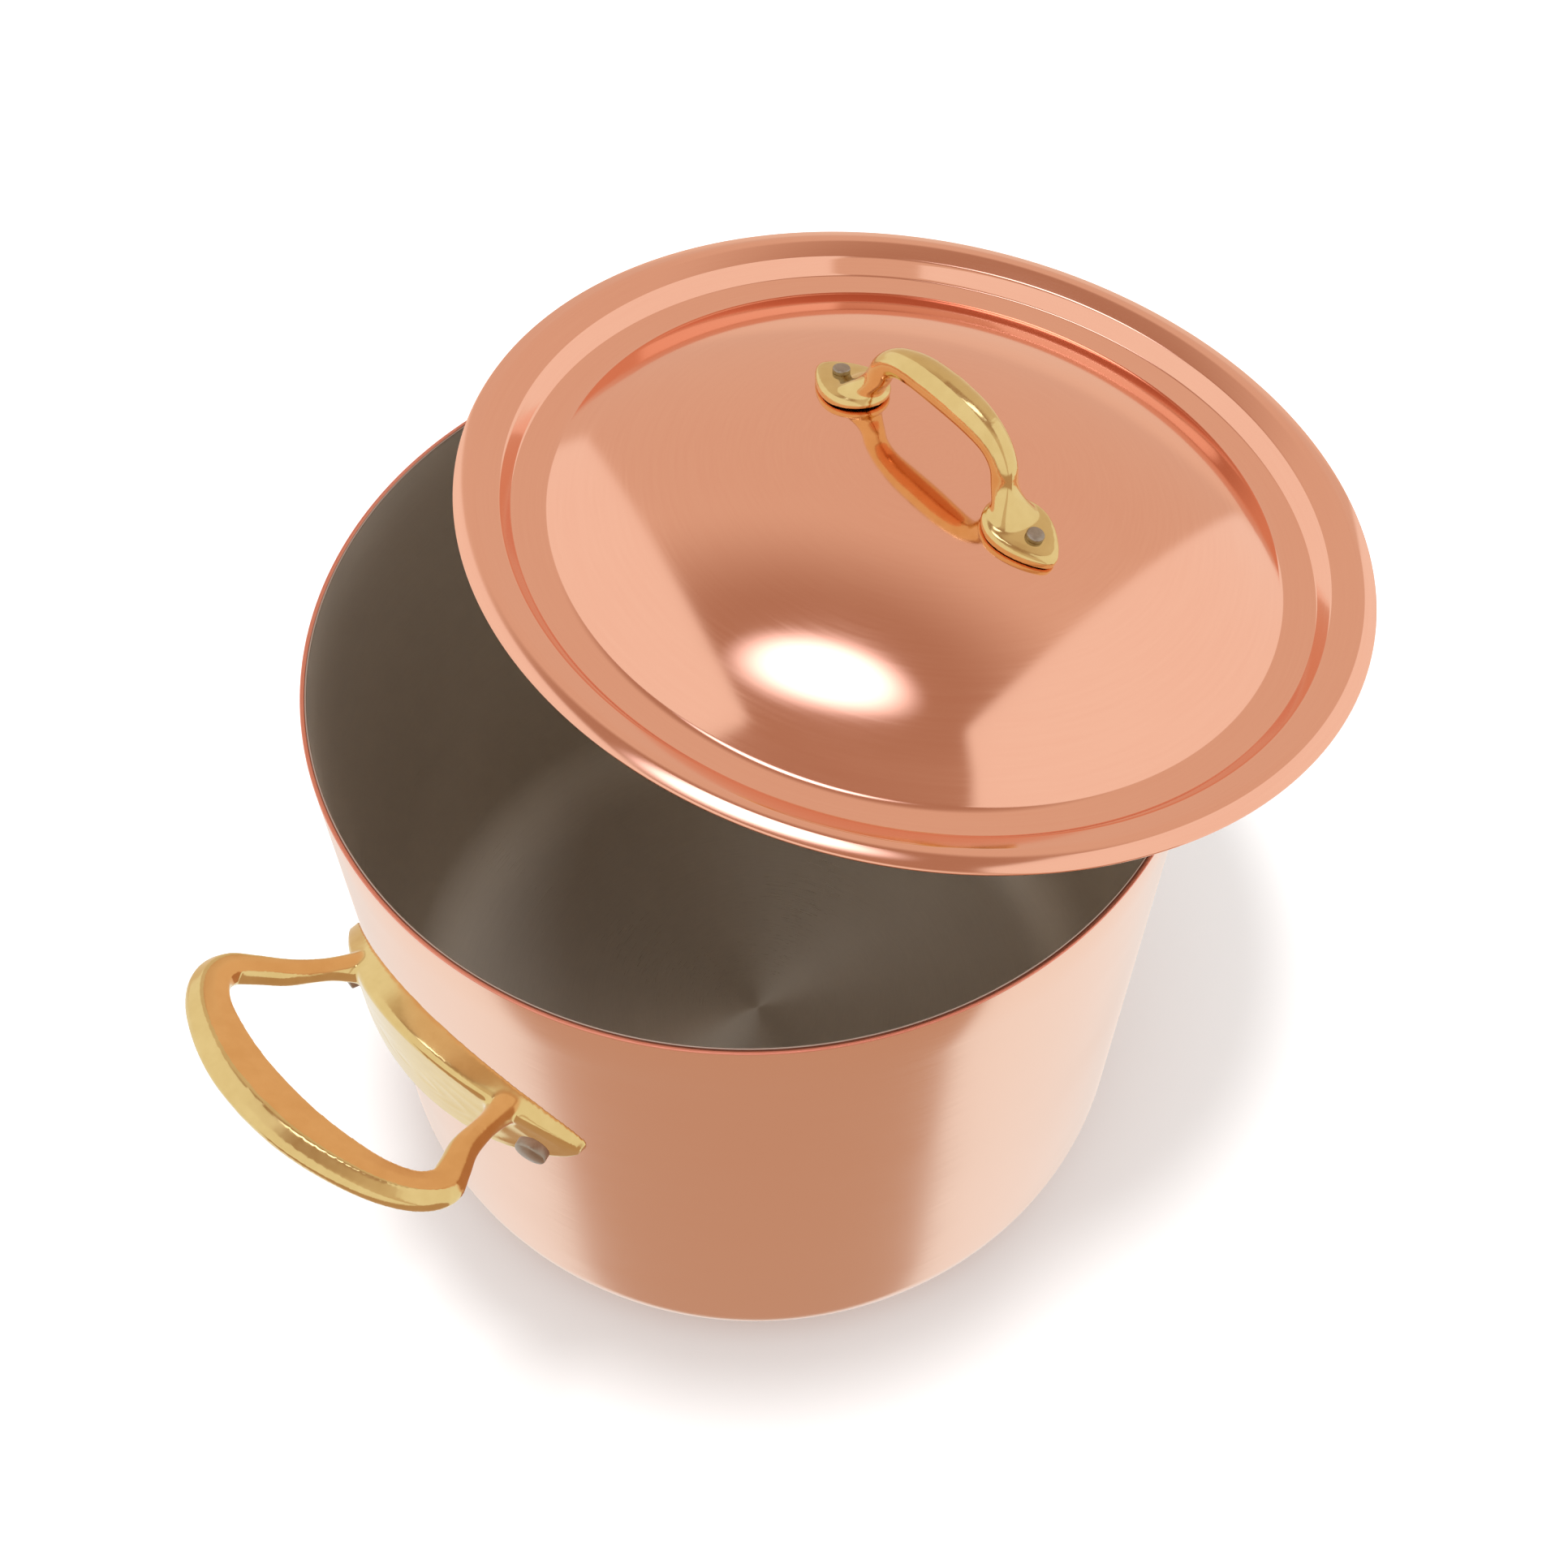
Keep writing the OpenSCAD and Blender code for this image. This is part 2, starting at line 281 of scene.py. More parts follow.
def apply_modifiers(obj):
    """Puts the result of the modifiers into the mesh and removes them."""
    depsgraph = bpy.context.evaluated_depsgraph_get()
    mesh = bpy.data.meshes.new_from_object(obj.evaluated_get(depsgraph))
    old = obj.data
    obj.modifiers.clear()
    obj.data = mesh
    bpy.data.meshes.remove(old)
    mesh.polygons.foreach_set("use_smooth", [True] * len(mesh.polygons))


BLEND_R = 11.0              # reach of the softened joint between an arm and its root


def cast(obj, voxel, smooth_steps, soft_spots, soft_steps):
    """Fuses overlapping solids into one casting and rounds its edges.

    soft_spots are (point, radius) balls inside which the metal flows more softly."""
    remesh = obj.modifiers.new("fuse", "REMESH")
    remesh.mode = "VOXEL"
    remesh.voxel_size = voxel * MM
    remesh.use_smooth_shade = True
    apply_modifiers(obj)
    group = obj.vertex_groups.new(name="soft")
    for v in obj.data.vertices:
        weight = max(
            max(0.0, 1 - (v.co / MM - Vector(p)).length / r) for p, r in soft_spots
        )
        if weight > 0:
            group.add([v.index], min(1.0, 2 * weight), "REPLACE")
    flow = obj.modifiers.new("flow", "SMOOTH")
    flow.vertex_group = "soft"
    flow.factor = 0.5
    flow.iterations = soft_steps
    polish = obj.modifiers.new("polish", "SMOOTH")
    polish.factor = 0.5
    polish.iterations = smooth_steps
    apply_modifiers(obj)
    obj.vertex_groups.clear()


# ---- materials ----

def node(tree, kind, values=None, **settings):
    """New shader node with its settings and its socket values."""
    made = tree.nodes.new(kind)
    for key, value in settings.items():
        setattr(made, key, value)
    for key, value in (values or {}).items():
        made.inputs[key].default_value = value
    return made


def link(tree, out, socket):
    tree.links.new(out, socket)


def ring_coordinates(tree, fine, around):
    """Vector that changes fast along a turned piece's outline and slowly around it."""
    where = node(tree, "ShaderNodeAttribute", attribute_name="turned_place")
    split = node(tree, "ShaderNodeSeparateXYZ")
    link(tree, where.outputs["Vector"], split.inputs[0])
    flat = node(tree, "ShaderNodeVectorMath", operation="MULTIPLY")
    flat.inputs[1].default_value = (1, 1, 0)
    link(tree, where.outputs["Vector"], flat.inputs[0])
    length = node(tree, "ShaderNodeVectorMath", operation="LENGTH")
    link(tree, flat.outputs[0], length.inputs[0])
    along = node(tree, "ShaderNodeMath", operation="ADD")
    link(tree, length.outputs["Value"], along.inputs[0])
    link(tree, split.outputs["Z"], along.inputs[1])
    scaled = node(tree, "ShaderNodeMath", operation="MULTIPLY")
    scaled.inputs[1].default_value = fine
    link(tree, along.outputs[0], scaled.inputs[0])
    unit = node(tree, "ShaderNodeVectorMath", operation="NORMALIZE")
    link(tree, flat.outputs[0], unit.inputs[0])
    unit_split = node(tree, "ShaderNodeSeparateXYZ")
    wide = node(tree, "ShaderNodeVectorMath", operation="SCALE")
    wide.inputs["Scale"].default_value = around
    link(tree, unit.outputs[0], wide.inputs[0])
    link(tree, wide.outputs[0], unit_split.inputs[0])
    joined = node(tree, "ShaderNodeCombineXYZ")
    link(tree, scaled.outputs[0], joined.inputs[0])
    link(tree, unit_split.outputs["X"], joined.inputs[1])
    link(tree, unit_split.outputs["Y"], joined.inputs[2])
    return joined.outputs[0]


NOISE_LOW = 0.3             # most of a noise texture's values lie between these
NOISE_HIGH = 0.7


def spread(tree, value, low, high):
    """Maps a noise value to low..high."""
    remap = node(tree, "ShaderNodeMapRange")
    remap.inputs["From Min"].default_value = NOISE_LOW
    remap.inputs["From Max"].default_value = NOISE_HIGH
    remap.inputs["To Min"].default_value = low
    remap.inputs["To Max"].default_value = high
    link(tree, value, remap.inputs["Value"])
    return remap.outputs["Result"]


BRUSH_ROTATION = 0.25       # stretches highlights across the grooves


def metal(name, slot_colour, shade_colour, roughness, anisotropy, grain, around,
          bump, patch_scale, turned=True, metallic=1.0):
    """Metal with brushing or grain, patches of tone and uneven polish.

    grain is how fine the brushing is, around how much it changes along a groove, and bump its
    depth in millimetres. Turned pieces are brushed around their axis."""
    material = bpy.data.materials.new(name)
    material.use_nodes = True
    tree = material.node_tree
    shader = tree.nodes["Principled BSDF"]
    shader.inputs["Metallic"].default_value = metallic
    shader.inputs["Anisotropic"].default_value = anisotropy
    shader.inputs["Anisotropic Rotation"].default_value = BRUSH_ROTATION
    if turned:
        grain_vector = ring_coordinates(tree, grain, around)
        tangent = node(tree, "ShaderNodeTangent", direction_type="UV_MAP", uv_map="turned")
        link(tree, tangent.outputs[0], shader.inputs["Tangent"])
        streaks = node(tree, "ShaderNodeTexNoise", {"Scale": 1.0, "Detail": 3.0})
    else:
        where = node(tree, "ShaderNodeTexCoord")
        grain_vector = where.outputs["Object"]
        streaks = node(tree, "ShaderNodeTexNoise", {"Scale": grain, "Detail": 3.0})
    link(tree, grain_vector, streaks.inputs["Vector"])
    place = node(tree, "ShaderNodeTexCoord")
    patches = node(tree, "ShaderNodeTexNoise", {"Scale": patch_scale, "Detail": 4.0})
    link(tree, place.outputs["Object"], patches.inputs["Vector"])
    mix = node(tree, "ShaderNodeMix", data_type="RGBA")
    mix.inputs["A"].default_value = (*shade_colour, 1)
    mix.inputs["B"].default_value = (*slot_colour, 1)
    tone = node(tree, "ShaderNodeMath", operation="ADD")
    link(tree, spread(tree, streaks.outputs["Fac"], -0.25, 0.25), tone.inputs[0])
    link(tree, spread(tree, patches.outputs["Fac"], 0.35, 1.0), tone.inputs[1])
    link(tree, tone.outputs[0], mix.inputs["Factor"])
    link(tree, mix.outputs["Result"], shader.inputs["Base Color"])
    rough = node(tree, "ShaderNodeMath", operation="ADD")
    link(tree, spread(tree, streaks.outputs["Fac"], -0.15 * roughness, 0.15 * roughness),
         rough.inputs[0])
    link(tree, spread(tree, patches.outputs["Fac"], 0.85 * roughness, 1.15 * roughness),
         rough.inputs[1])
    link(tree, rough.outputs[0], shader.inputs["Roughness"])
    relief = node(tree, "ShaderNodeBump", {"Strength": 1.0, "Distance": bump * MM})
    link(tree, streaks.outputs["Fac"], relief.inputs["Height"])
    link(tree, relief.outputs[0], shader.inputs["Normal"])
    return material


def make_materials():
    """Each row: name, two tones, roughness, anisotropy, grain, around, bump, patch scale."""
    return {
        # The pot's copper is paler and less saturated than the lid's although both are the same
        # metal: a painted highlight that stands in for the brighter, washed-out reflections on
        # the wall.
        "copper": metal("polished_copper_paled_for_glare", (0.94, 0.62, 0.48), (0.92, 0.59, 0.45),
                        0.13, 1.0, 2500, 4, 0.0001, 14),
        "raw_copper": metal("ground_copper_rim", (0.85, 0.34, 0.24), (0.78, 0.27, 0.19),
                            0.3, 0.0, 2500, 4, 0.001, 14),
        "lid_copper": metal("polished_lid_copper", (0.94, 0.51, 0.365), (0.92, 0.48, 0.34),
                            0.08, 0.3, 1800, 4, 0.0003, 14),
        "steel": metal("circular_brushed_steel", (0.80, 0.72, 0.63), (0.70, 0.63, 0.55),
                       0.34, 0.95, 5200, 7, 0.001, 10, metallic=0.78),
        "raw_steel": metal("ground_steel_rim", (0.50, 0.40, 0.34), (0.42, 0.33, 0.28),
                           0.35, 0.0, 5200, 7, 0.001, 10),
        "brass": metal("cast_brass", (0.80, 0.61, 0.27), (0.72, 0.52, 0.21),
                       0.14, 0.0, 250, 1, 0.006, 60, turned=False),
        "rivet": metal("dull_rivet_steel", (0.42, 0.35, 0.28), (0.30, 0.25, 0.20),
                       0.38, 0.0, 1500, 1, 0.01, 300, turned=False),
    }


# ---- pot ----

FLOOR_STEPS = 12            # points along each stretch of the pot's outline
CORNER_STEPS = 24
WALL_STEPS = 10


def vessel(inset_by, top):
    """Outline of the pot's outer face moved inwards, from the axis to the rim."""
    r = POT_R - inset_by
    corner = CORNER_R - inset_by
    flat = r - corner
    floor = [(flat * i / FLOOR_STEPS, inset_by) for i in range(FLOOR_STEPS)]
    bend = arc((flat, corner + inset_by), corner, -90, 0, CORNER_STEPS)
    wall = [
        (r, CORNER_R + (top - CORNER_R) * i / WALL_STEPS) for i in range(1, WALL_STEPS + 1)
    ]
    return floor + bend + wall


RIM_ROUND = 0.25            # edge radius of the copper at the rim
LINING_ROUND = 0.2          # edge radius of the lining at the rim
RIM_STEP = 0.03             # how far the joint between the two lies below the rim


def bare_edge(obj, material):
    """Gives the ground faces on top of the rim their own finish."""
    obj.data.materials.append(material)
    for face in obj.data.polygons:
        if face.center.z > (POT_H - RIM_ROUND - 0.01) * MM:
            face.material_index = 1


def make_pot(materials):
    outer = vessel(0.0, POT_H - RIM_ROUND)
    rim = arc((POT_R - RIM_ROUND, POT_H - RIM_ROUND), RIM_ROUND, 0, 90, 4)[1:]
    between = vessel(COPPER_T, POT_H - RIM_STEP)
    shell = lathe("pot_copper_wall", outer + rim + list(reversed(between)), materials["copper"])
    inner = vessel(FLOOR_Z, POT_H - LINING_ROUND)
    crown = arc((POT_R - FLOOR_Z + LINING_ROUND, POT_H - LINING_ROUND), LINING_ROUND, 90, 180, 4)
    lining = lathe("pot_lining", between + crown + list(reversed(inner)), materials["steel"])
    for piece, raw in ((shell, materials["raw_copper"]), (lining, materials["raw_steel"])):
        bare_edge(piece, raw)
        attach(piece, "pot")
    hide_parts("pot_copper_shell")
    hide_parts("pot_steel_lining")


# ---- side handles ----

PLATE_HALF = 48.0
PLATE_Z = 136.0
PLATE_UP = 23.0
PLATE_DOWN = 12.0
PLATE_T = 9.0
PLATE_CURVE_R = 83.3        # radius of the plate's front face
PLATE_GAP = 0.05            # between the plate's back and the wall
PLATE_UP_POWER = 0.8        # how full the plate's upper and lower edges are
PLATE_DOWN_POWER = 0.35
PLATE_CORE = 2.0            # height above PLATE_Z that the plate's rings shrink towards

LOOP_TILT = 33.0

# Half the loop in its own tilted plane, from the plate to the grip's middle: distance from
# the pot's axis, distance from the middle, width, thickness and form, where form 0 is the
# round arm and form 1 the flat-topped grip.
LOOP_PLAN = [
    (POT_R + 1, 29.5, 10.0, 9.5, 0.0),
    (POT_R + 7, 31.8, 6.9, 7.5, 0.0),
    (POT_R + 12.5, 33.6, 6.6, 6.5, 0.1),
    (POT_R + 19, 36.2, 7.8, 7.0, 0.3),
    (POT_R + 25, 40.4, 8.8, 7.0, 0.6),
    (POT_R + 30.5, 43.4, 10.0, 7.0, 0.9),
    (POT_R + 36.5, 41.0, 10.4, 7.0, 1.0),
    (POT_R + 41.7, 33.6, 11.6, 7.2, 1.0),
    (POT_R + 45.5, 22.5, 13.6, 7.5, 1.0),
    (POT_R + 47.7, 11.0, 15.0, 7.5, 1.0),
    (POT_R + 48.3, 0.0, 15.4, 7.5, 1.0),
]
LOOP_ROOT_Z = 148.0
LOOP = [
    (u, s, LOOP_ROOT_Z + (u - POT_R - 2) * math.tan(rad(LOOP_TILT)), w, t, form)
    for u, s, w, t, form in LOOP_PLAN
]

# Ring of the grip, in units of its width and thickness, outwards and up positive.
GRIP_FORM = [
    (0.50, -0.10), (0.47, 0.12), (0.24, 0.48), (-0.10, 0.46), (-0.43, 0.40), (-0.49, 0.14),
    (-0.50, -0.10), (-0.42, -0.36), (-0.22, -0.48), (0.0, -0.50), (0.24, -0.47), (0.43, -0.34),
]


def grip_ring(form):
    """Ellipse at form 0, GRIP_FORM at form 1."""
    out = []
    for u, v in GRIP_FORM:
        angle = math.atan2(v, u)
        round_u, round_v = 0.5 * math.cos(angle), 0.5 * math.sin(angle)
        out.append((round_u + (u - round_u) * form, round_v + (v - round_v) * form))
    return out


def plate_outline(count):
    """Edge of the plate as (along the wall, above PLATE_Z) points."""
    out = []
    for k in range(count):
        a = 2 * math.pi * k / count
        s = PLATE_HALF * math.cos(a)
        bulge = max(0.0, 1 - (s / PLATE_HALF) ** 2)
        if math.sin(a) >= 0:
            rise = PLATE_UP * bulge ** PLATE_UP_POWER
        else:
            rise = -PLATE_DOWN * bulge ** PLATE_DOWN_POWER
        out.append((s, rise))
    return out


def plate_back(s):
    return math.sqrt((POT_R + PLATE_GAP) ** 2 - s * s)


def plate_front(s):
    return POT_R + PLATE_T - PLATE_CURVE_R + math.sqrt(PLATE_CURVE_R ** 2 - s * s)


def add_plate(bm):
    """Plate as rings: out over the back face, up the edge and in over the front face."""
    outline = plate_outline(160)
    shares = (0.02, 0.2, 0.4, 0.6, 0.8, 0.93, 1.0)

    def ring(share, depth):
        """Outline drawn in by share; depth 0 is the back face and 1 the front face."""
        points = []
        for s, z in outline:
            x0, x1 = plate_back(s * share), plate_front(s * share)
            height = PLATE_Z + PLATE_CORE + (z - PLATE_CORE) * share
            points.append((x0 + (x1 - x0) * depth, s * share, height))
        return points

    rings = [ring(k, 0.0) for k in shares]
    rings += [ring(1.0, d) for d in (0.3, 0.6, 0.84)]
    rings += [ring(0.975, 0.95), ring(0.93, 1.0)]
    rings += [ring(k, 1.0) for k in (0.8, 0.6, 0.4, 0.2, 0.02)]
    skin(bm, rings)


def make_side_handle(name, node_name, degrees, materials):
    bm = bmesh.new()
    add_plate(bm)
    upright = Vector((-math.sin(rad(LOOP_TILT)), 0, math.cos(rad(LOOP_TILT))))
    sweep(bm, mirrored(spline(LOOP, 6)), upright, grip_ring)
    obj = new_object(name, bm, materials["brass"])
    roots = [((POT_R + 6, side * 30, LOOP_ROOT_Z - 0.5), BLEND_R) for side in (-1, 1)]
    cast(obj, voxel=0.5, smooth_steps=2, soft_spots=roots, soft_steps=40)
    obj.data.transform(turn("Z", degrees))
    obj.visible_glossy = False          # keeps the pot's wall clean beside the handle
    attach(obj, "pot")
    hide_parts(node_name)


def make_side_rivet(name, node_name, degrees, materials):
    """Rivet turned about its own axis: inner head, shank, outer head."""
    r, shank = 4.6, 3.0
    inside = POT_R - FLOOR_Z - 0.1
    head = RIVET_FACE
    outline = [(0, inside - 1.25)]
    outline += arc((r - 1.6, inside), 1.6, -60, -8, 6)
    outline += [(r, inside), (shank, inside), (shank, head)]
    outline += [(r - 0.1, head), (r, head + 0.2), (r, head + 2.2)]
    outline += arc((r - 0.7, head + 2.4), 0.7, 0, 62, 6)
    outline += [(r * 0.6, head + 3.35), (r * 0.3, head + 3.55), (0, head + 3.6)]
    place = turn("Z", degrees) @ shift(0, 0, RIVET_Z) @ turn("Y", 90)
    obj = lathe(name, outline, materials["rivet"], place, segments=64, closed=False)
    obj.visible_glossy = False
    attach(obj, "pot")
    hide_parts(node_name)


# ---- lid ----

def dome_height(r):
    return DOME_TOP - DOME_R + math.sqrt(DOME_R ** 2 - r * r)


def lid_top():
    """Upper face of the lid from its edge to its axis; a corner is (radius, height, fillet)."""
    dome_end = math.asin(CREASE_R / DOME_R) * 0.93      # the fillet at the crease takes the rest
    first = DOME_R * math.sin(dome_end)
    path = [
        (LID_R - LID_COPPER_T / 2, 0, 0),
        (CROWN_R, CROWN_H, 5),
        (STEP_R, STEP_H, 3),
        (SEAT_R, SEAT_H, 1.8),
        (CREASE_R + 0.6, CREASE_H, 7),
        (first, dome_height(first), 0),
    ]
    dome = []
    steps = 44
    for i in range(1, steps + 1):
        r = DOME_R * math.sin(dome_end * (1 - i / steps))
        dome.append((r, dome_height(r)))
    return rounded(path) + dome


def make_lid(materials):
    top = lid_top()
    under = offset(top, LID_COPPER_T)
    inner = offset(top, LID_COPPER_T + LID_STEEL_T)
    edge_mid = ((top[0][0] + under[0][0]) / 2, (top[0][1] + under[0][1]) / 2)
    slope = math.degrees(math.atan2(top[0][1] - under[0][1], top[0][0] - under[0][0]))
    edge = arc(edge_mid, LID_COPPER_T / 2, slope - 180, slope, 10)
    shell = lathe("lid_copper_dome", list(reversed(under)) + edge[1:-1] + top,
                  materials["lid_copper"], LID_PLACE, closed=False)
    lining = lathe("lid_lining", list(reversed(inner)) + under,
                   materials["steel"], LID_PLACE, closed=False)
    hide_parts("lid_copper_shell")
    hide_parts("lid_steel_lining")
    for piece in (shell, lining):
        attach(piece, "lid")


def foot_place(side):
    """Frame on the dome under a foot, +Y outwards, in the lid's own frame."""
    tilt = math.degrees(math.asin(FOOT_MID / DOME_R))
    return (turn("Z", 0 if side > 0 else 180) @ shift(0, 0, DOME_TOP - DOME_R)
            @ turn("X", -tilt) @ shift(0, 0, DOME_R))


# Half the arch: x, y, z, thickness in the arch's plane and width across.
ARCH = [
    (0, 36.0, 18.4, 2.4, 15.0),
    (0, 31.8, 20.2, 4.8, 14.5),
    (0, 28.2, 22.6, 6.8, 11.0),
    (0, 25.5, 26.8, 7.3, 7.8),
    (0, 23.4, 32.2, 7.5, 7.6),
    (0, 18.5, 36.5, 8.2, 8.6),
    (0, 10.0, 38.9, 9.4, 10.4),
    (0, 0.0, 39.5, 10.0, 11.0),
]


def round_ring():
    return [
        (0.5 * math.cos(2 * math.pi * k / 24), 0.5 * math.sin(2 * math.pi * k / 24))
        for k in range(24)
    ]


def add_foot(bm, side):
    """Egg-shaped foot, narrower at its outer end."""
    place = foot_place(side)
    count = 72

    def ring(share, z):
        """Outline drawn in by share, at height z."""
        points = []
        for k in range(count):
            a = 2 * math.pi * k / count
            t = (1 - math.cos(a)) / 2
            x = FOOT_HALF_WIDE * (1.1 - 0.5 * t * t) * math.sin(a)
            y = FOOT_LEN * (t - 0.5)
            points.append(place @ Vector((share * x, share * y, FOOT_LIFT + z)))
        return points

    levels = [(0.05, 0), (0.96, 0), (1.0, 0.3), (1.0, 2.0), (0.95, 2.6), (0.84, 3.1),
              (0.6, 3.4), (0.3, 3.5), (0.05, 3.5)]
    skin(bm, [ring(k, z) for k, z in levels])


def make_lid_handle(materials):
    bm = bmesh.new()
    add_foot(bm, 1)
    add_foot(bm, -1)
    sweep(bm, mirrored(spline(ARCH, 6)), Vector((1, 0, 0)), round_ring)
    obj = new_object("lid_handle_cast", bm, materials["brass"])
    feet = [((0, side * 29, 21.5), BLEND_R) for side in (-1, 1)]
    cast(obj, voxel=0.35, smooth_steps=3, soft_spots=feet, soft_steps=110)
    obj.data.transform(in_metres(LID_PLACE))
    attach(obj, "lid")
    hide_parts("lid_handle")


def make_lid_rivet(name, node_name, side, materials):
    """Rivet turned about its own axis: inner head, shank, outer head."""
    r, shank = 2.5, 1.6
    under = LID_COPPER_T + LID_STEEL_T + 0.15
    top = FOOT_LIFT + FOOT_T + 0.05
    outline = [(0, -under - 0.95)]
    outline += arc((r - 0.8, -under), 0.95, -65, -5, 5)
    outline += [(r, -under), (shank, -under), (shank, top)]
    outline += [(r - 0.1, top), (r, top + 0.15), (r, top + 0.9)]
    outline += arc((r - 0.5, top + 0.95), 0.5, 0, 60, 5)
    outline += [(r * 0.5, top + 1.55), (0, top + 1.6)]
    place = LID_PLACE @ foot_place(side) @ shift(0, LID_RIVET_Y - FOOT_MID, 0)
    obj = lathe(name, outline, materials["rivet"], place, segments=48, closed=False)
    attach(obj, "lid")
    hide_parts(node_name)


# ---- stage ----

FLOOR_GAP = 0.2             # the floor lies this far below the pot


def make_floor():
    half_size = 6.0                     # metres
    bm = bmesh.new()
    bmesh.ops.create_grid(bm, x_segments=1, y_segments=1, size=half_size / MM)
    material = bpy.data.materials.new("pale_floor")
    material.use_nodes = True
    shader = material.node_tree.nodes["Principled BSDF"]
    shader.inputs["Base Color"].default_value = (0.9, 0.9, 0.9, 1)
    shader.inputs["Roughness"].default_value = 1.0
    shader.inputs["Specular IOR Level"].default_value = 0.0
    floor = new_object("floor", bm, material, shift(0, 0, -FLOOR_GAP), smooth=False)
    floor.visible_glossy = False


STUDIO_TURN = -44.0         # the studio's "right" in the frame, from +X


def studio(right, away, up):
    """Direction in the frame, from the studio's right, away-from-camera and up parts."""
    return (turn("Z", STUDIO_TURN) @ Vector((right, away, up))).normalized()


# Light that the studio sends from each part, as seen in a mirror.
ROOM = (0.75, 0.62, 0.52)
PANEL = (0.96, 0.93, 0.89)          # two large panels, left and right
LAMP = (3.0, 3.3, 3.8)
LAMP_RING = (0.47, 0.31, 0.23)      # darker zone around the lamp
TABLE = (0.97, 0.96, 0.93)
TABLE_FAR = (0.84, 0.70, 0.58)
TABLE_NEAR = (0.58, 0.385, 0.275)   # dark wedge towards the camera
DULL_LIGHT = (1.1, 1.1, 1.1)        # what dull surfaces and the camera see


def part_along(tree, direction):
    """How much of the view's direction lies along the given one."""
    look = node(tree, "ShaderNodeTexCoord")
    dot = node(tree, "ShaderNodeVectorMath", operation="DOT_PRODUCT")
    dot.inputs[1].default_value = direction
    link(tree, look.outputs["Generated"], dot.inputs[0])
    return dot.outputs["Value"]


def soft_step(tree, value, zero_at, one_at):
    """0 at one value, 1 at the other, smooth between them."""
    remap = node(tree, "ShaderNodeMapRange", interpolation_type="SMOOTHSTEP")
    remap.inputs["From Min"].default_value = zero_at
    remap.inputs["From Max"].default_value = one_at
    link(tree, value, remap.inputs["Value"])
    return remap.outputs["Result"]


def side_of(tree, direction, edge, softness):
    """1 where the view is on the given side, 0 on the other, with a soft border."""
    return soft_step(tree, part_along(tree, direction), edge - softness, edge + softness)


def both(tree, a, b):
    product = node(tree, "ShaderNodeMath", operation="MULTIPLY")
    link(tree, a, product.inputs[0])
    link(tree, b, product.inputs[1])
    return product.outputs[0]


def oval(tree, middle, across, half_across, half_along, softness):
    """1 inside an oval round a direction, 0 outside; half sizes are sines."""
    across = (across - middle * across.dot(middle)).normalized()
    along = middle.cross(across)
    parts = node(tree, "ShaderNodeCombineXYZ")
    link(tree, part_along(tree, across / half_across), parts.inputs[0])
    link(tree, part_along(tree, along / half_along), parts.inputs[1])
    length = node(tree, "ShaderNodeVectorMath", operation="LENGTH")
    link(tree, parts.outputs[0], length.inputs[0])
    inside = soft_step(tree, length.outputs["Value"], 1 + softness, 1 - softness)
    return both(tree, inside, side_of(tree, middle, 0.5, 0.1))


def paint(tree, under, over, mask):
    """Shows over on top of under where the mask is 1; each is a colour or an output."""
    mix = node(tree, "ShaderNodeMix", data_type="RGBA")
    for name, colour in (("A", under), ("B", over)):
        if isinstance(colour, tuple):
            mix.inputs[name].default_value = (*colour, 1)
        else:
            link(tree, colour, mix.inputs[name])
    link(tree, mask, mix.inputs["Factor"])
    return mix.outputs["Result"]


def paint_above(tree):
    """Upper half of the studio: room, dark ring, two panels and the lamp."""
    lamp_way = studio(0, 0.205, 1)
    lamp_across = studio(1, -0.35, 0)
    left = both(tree, side_of(tree, studio(-0.919, -0.360, -0.158), 0.0, 0.012),
                side_of(tree, studio(0, 0.2, 1), -0.2, 0.1))
    right = both(tree, side_of(tree, studio(0.722, -0.653, -0.239), 0.0, 0.012),
                 side_of(tree, studio(1, 0.15, 0), 0.36, 0.02))
    ring = oval(tree, lamp_way, lamp_across, half_across=0.62, half_along=0.34, softness=0.45)
    lamp = oval(tree, lamp_way, lamp_across, half_across=0.19, half_along=0.085, softness=0.5)
    above = paint(tree, ROOM, LAMP_RING, ring)
    above = paint(tree, above, PANEL, left)
    above = paint(tree, above, PANEL, right)
    return paint(tree, above, LAMP, lamp)


def paint_below(tree):
    """Lower half: bright table at the sides, dark towards the camera, warm beyond."""
    near = both(tree, side_of(tree, studio(0.4067, -0.9135, 0), 0.0, 0.01),
                side_of(tree, studio(-0.5446, -0.8387, 0), 0.0, 0.01))
    below = paint(tree, TABLE, TABLE_NEAR, near)
    return paint(tree, below, TABLE_FAR, side_of(tree, studio(0, 1, 0), 0.55, 0.12))


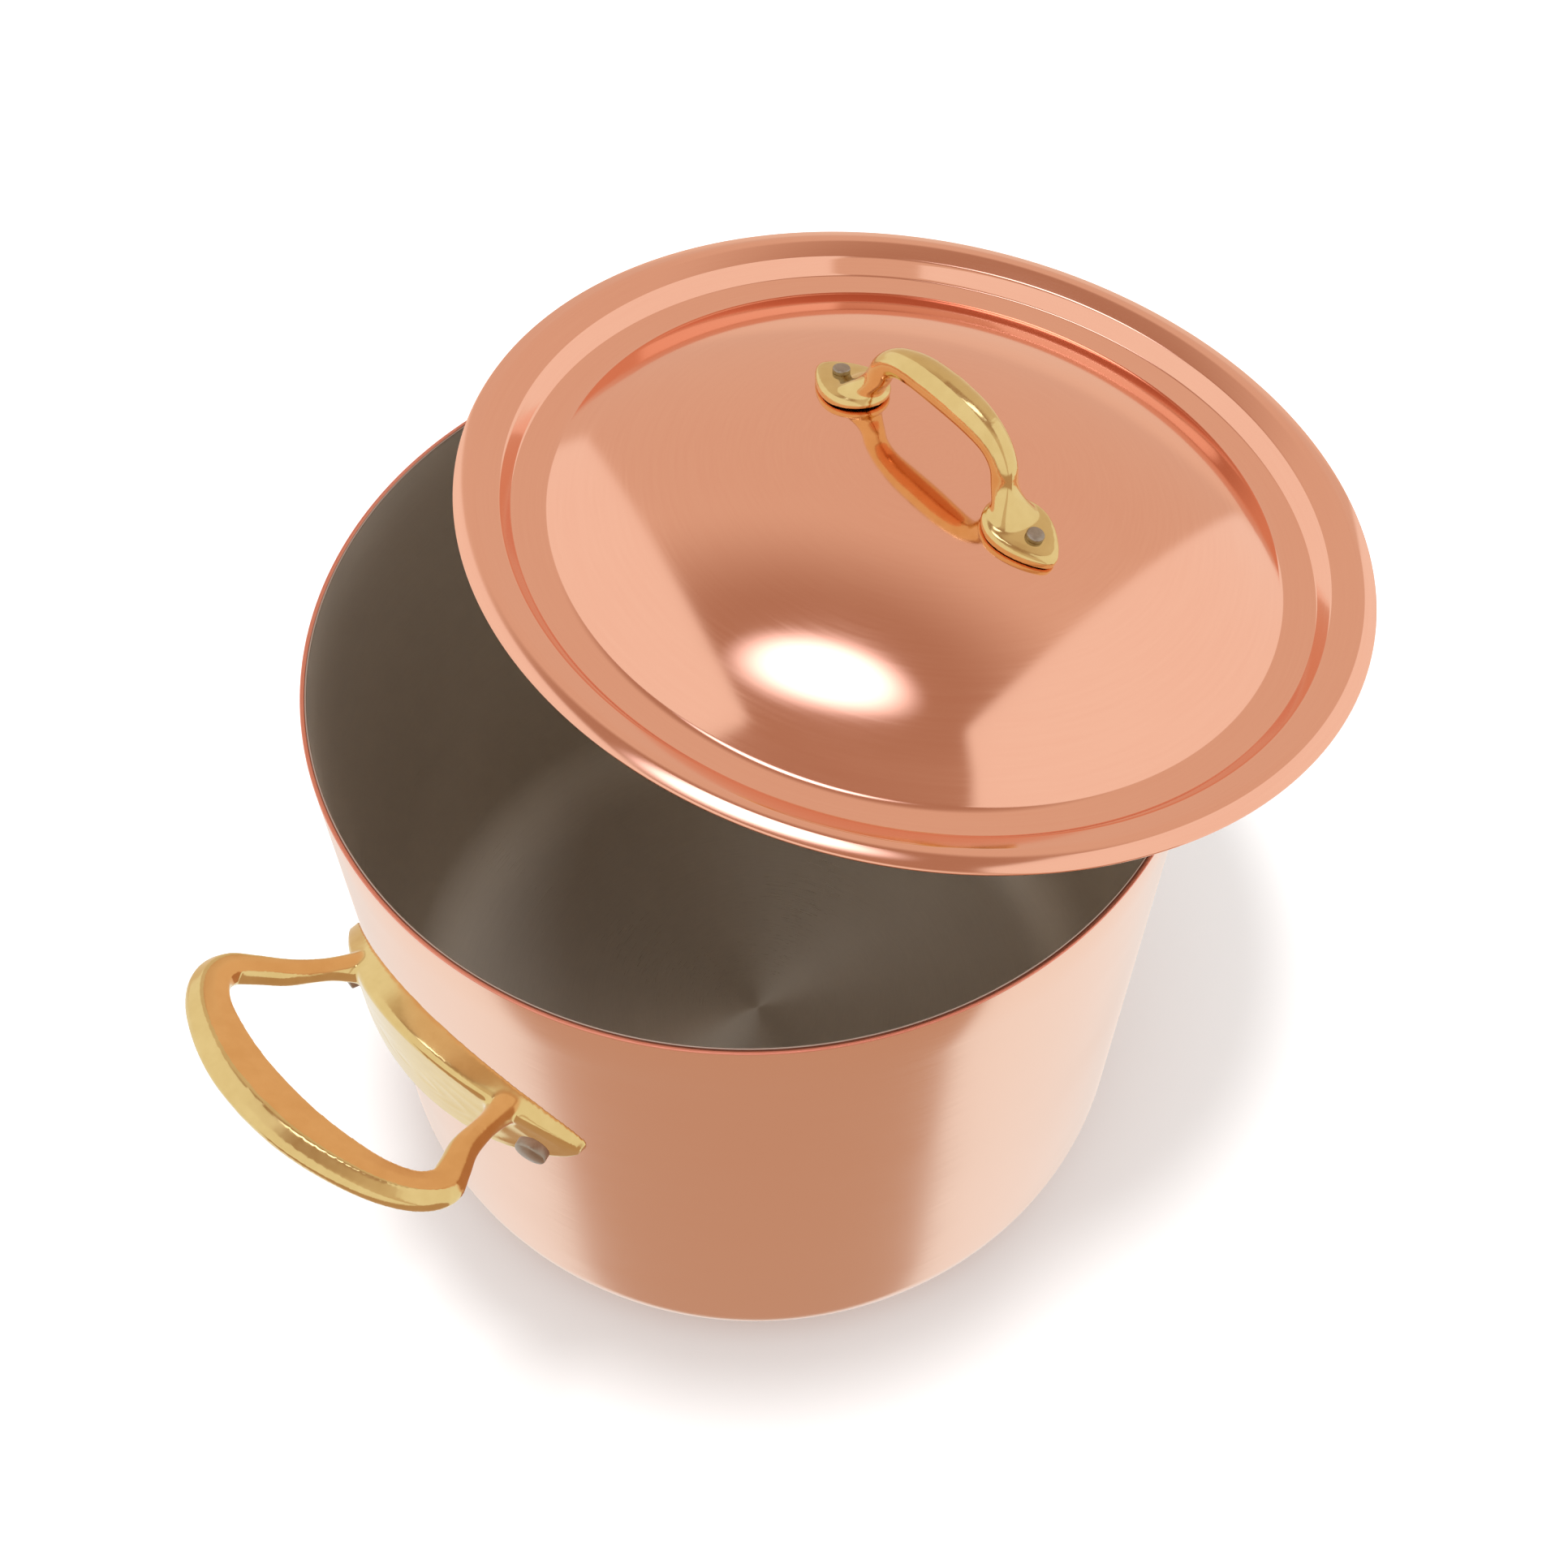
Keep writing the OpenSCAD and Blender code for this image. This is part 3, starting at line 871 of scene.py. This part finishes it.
def make_world():
    world = bpy.data.worlds.new("studio")
    bpy.context.scene.world = world
    world.use_nodes = True
    tree = world.node_tree
    upward = side_of(tree, Vector((0, 0, 1)), -0.05, 0.04)
    mirrored_studio = paint(tree, paint_below(tree), paint_above(tree), upward)
    path = node(tree, "ShaderNodeLightPath")
    dull = paint(tree, mirrored_studio, DULL_LIGHT, path.outputs["Is Diffuse Ray"])
    seen = paint(tree, dull, DULL_LIGHT, path.outputs["Is Camera Ray"])
    link(tree, seen, tree.nodes["Background"].inputs["Color"])


def make_top_light():
    """Soft light for dull surfaces, in metres: the metals mirror the studio instead."""
    height = 1.8
    light = bpy.data.lights.new("top_light", "AREA")
    light.shape = "DISK"
    light.size = 0.36
    light.energy = 18
    obj = bpy.data.objects.new("top_light", light)
    obj.matrix_world = turn("Z", STUDIO_TURN) @ turn("X", -3) @ shift(0, 0, height)
    obj.visible_glossy = False
    bpy.context.scene.collection.objects.link(obj)


def make_camera():
    """Camera in metres: heading from +X, pitch downwards, roll about the line of sight."""
    place = shift(-0.2307, -0.2389, 0.6243)
    pitch, heading, roll = 55.57, 44.49, 0.09
    camera = bpy.data.cameras.new("camera")
    camera.lens = 45.87
    camera.sensor_width = 36.0
    camera.clip_start = 0.01
    obj = bpy.data.objects.new("camera", camera)
    obj.matrix_world = (
        place @ turn("Z", heading - 90) @ turn("X", 90 - pitch) @ turn("Z", roll)
    )
    bpy.context.scene.collection.objects.link(obj)
    bpy.context.scene.camera = obj
    scene = bpy.context.scene
    scene.view_settings.view_transform = "Standard"
    scene.view_settings.look = "None"


materials = make_materials()
make_pot(materials)
make_side_handle("side_handle_left_cast", "side_handle_left", 180, materials)
make_side_handle("side_handle_right_cast", "side_handle_right", 0, materials)
make_side_rivet("rivet_left_front", "handle_rivet_left_front", 180 + RIVET_ANGLE, materials)
make_side_rivet("rivet_left_back", "handle_rivet_left_back", 180 - RIVET_ANGLE, materials)
make_side_rivet("rivet_right_front", "handle_rivet_right_front", -RIVET_ANGLE, materials)
make_side_rivet("rivet_right_back", "handle_rivet_right_back", RIVET_ANGLE, materials)
make_lid(materials)
make_lid_handle(materials)
make_lid_rivet("lid_rivet_front_head", "lid_rivet_front", -1, materials)
make_lid_rivet("lid_rivet_back_head", "lid_rivet_back", 1, materials)
make_floor()
make_world()
make_top_light()
make_camera()
